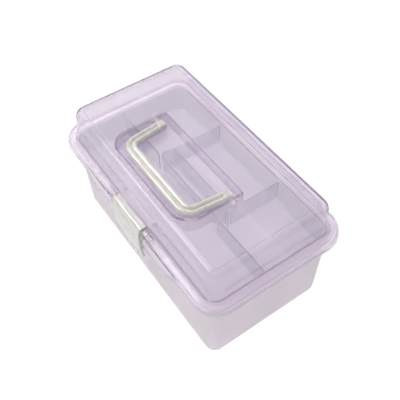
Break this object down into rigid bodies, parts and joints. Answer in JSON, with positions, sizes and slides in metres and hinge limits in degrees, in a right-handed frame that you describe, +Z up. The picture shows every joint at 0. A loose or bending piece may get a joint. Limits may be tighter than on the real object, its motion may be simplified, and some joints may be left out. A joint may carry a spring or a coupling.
{
  "type": "sewing box",
  "caption": "Rectangular lilac plastic sewing box with a clear hinged lid, folding carry handle, front latch and a lift-out compartment tray.",
  "frame": {"origin": "middle of the box in plan, at the plane of the feet", "axes": "+X to the right along the length, +Y to the hinge side, +Z up; the latch faces -Y"},
  "size_m": [0.2494, 0.1487, 0.1267],
  "materials": {
    "frosted_tub": "frosted, translucent lilac",
    "clear_lid": "clear, glossy, lilac tint",
    "frosted_tray": "clear lilac tint, lightly frosted",
    "pearl_white": "pearl white, satin gloss",
    "pin_steel": "plain"
  },
  "bodies": {
    "tub_body": {"tub": "frosted_tub", "hinge_pin_left": "pin_steel", "hinge_pin_right": "pin_steel", "foot_front_left": "frosted_tub", "foot_front_right": "frosted_tub", "foot_back_left": "frosted_tub", "foot_back_right": "frosted_tub"},
    "lid_body": {"lid": "clear_lid"},
    "handle_body": {"handle": "pearl_white"},
    "latch_body": {"latch": "pearl_white"},
    "tray_body": {"tray": "frosted_tray"}
  },
  "joints": [
    {"name": "lid_hinge", "type": "hinge", "parent": "tub_body", "child": "lid_body", "pos_m": [0, 0.0721, 0.081], "axis": [-1, 0, 0], "range_deg": [0, 105]},
    {"name": "handle_hinge", "type": "hinge", "parent": "lid_body", "child": "handle_body", "pos_m": [0, -0.001, 0.1202], "axis": [-1, 0, 0], "range_deg": [0, 90]},
    {"name": "latch_hinge", "type": "hinge", "parent": "lid_body", "child": "latch_body", "pos_m": [0, -0.0671, 0.09215], "axis": [-1, 0, 0], "range_deg": [0, 28]},
    {"name": "tray_slide", "type": "slide", "parent": "tub_body", "child": "tray_body", "axis": [0, 0, 1], "range_m": [0, 0.001]}
  ]
}
